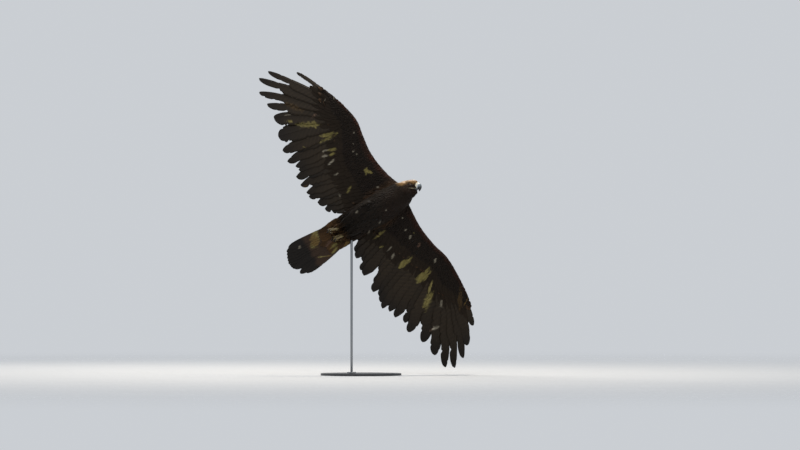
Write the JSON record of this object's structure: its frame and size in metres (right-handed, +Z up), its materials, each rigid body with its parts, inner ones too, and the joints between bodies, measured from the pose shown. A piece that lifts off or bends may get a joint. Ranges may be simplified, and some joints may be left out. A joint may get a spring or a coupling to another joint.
{
  "type": "golden eagle",
  "caption": "Life-size golden eagle banking in flight with wings and tail spread, held by one rod on a plain round display stand.",
  "frame": {"origin": "centre of the underside of the stand's round base", "axes": "+Z up; the eagle's belly faces -Y, its bill points to +X and up, its left wing hangs down and its right wing points up"},
  "size_m": [1.2244, 0.4751, 1.7401],
  "materials": {
    "plumage": "dark brown contour feathers",
    "nape": "golden brown hackles",
    "flight": "dark flight feathers",
    "horn": "smooth blue-grey horn",
    "cere": "waxy yellow skin",
    "foot": "scaled yellow skin",
    "claw": "polished black claw",
    "eye": "wet brown iris",
    "stand_base": "matt dark powder coat",
    "stand_rod": "satin steel"
  },
  "bodies": {
    "root": {"torso": "plumage", "neck": "nape", "head": "nape", "cere": "cere", "bill_upper": "horn", "bill_lower": "horn", "eye_left": "eye", "eye_right": "eye", "wing_left_inner": "flight", "wing_left_outer": "flight", "wing_right_inner": "flight", "wing_right_outer": "flight", "tail": "flight", "leg_left": "plumage", "leg_right": "plumage", "foot_left": "foot", "foot_right": "foot", "talon_left_1": "claw", "talon_left_2": "claw", "talon_left_3": "claw", "talon_left_4": "claw", "talon_right_1": "claw", "talon_right_2": "claw", "talon_right_3": "claw", "talon_right_4": "claw", "stand_base": "stand_base", "stand_collar": "stand_rod", "stand_rod": "stand_rod"}
  },
  "joints": []
}
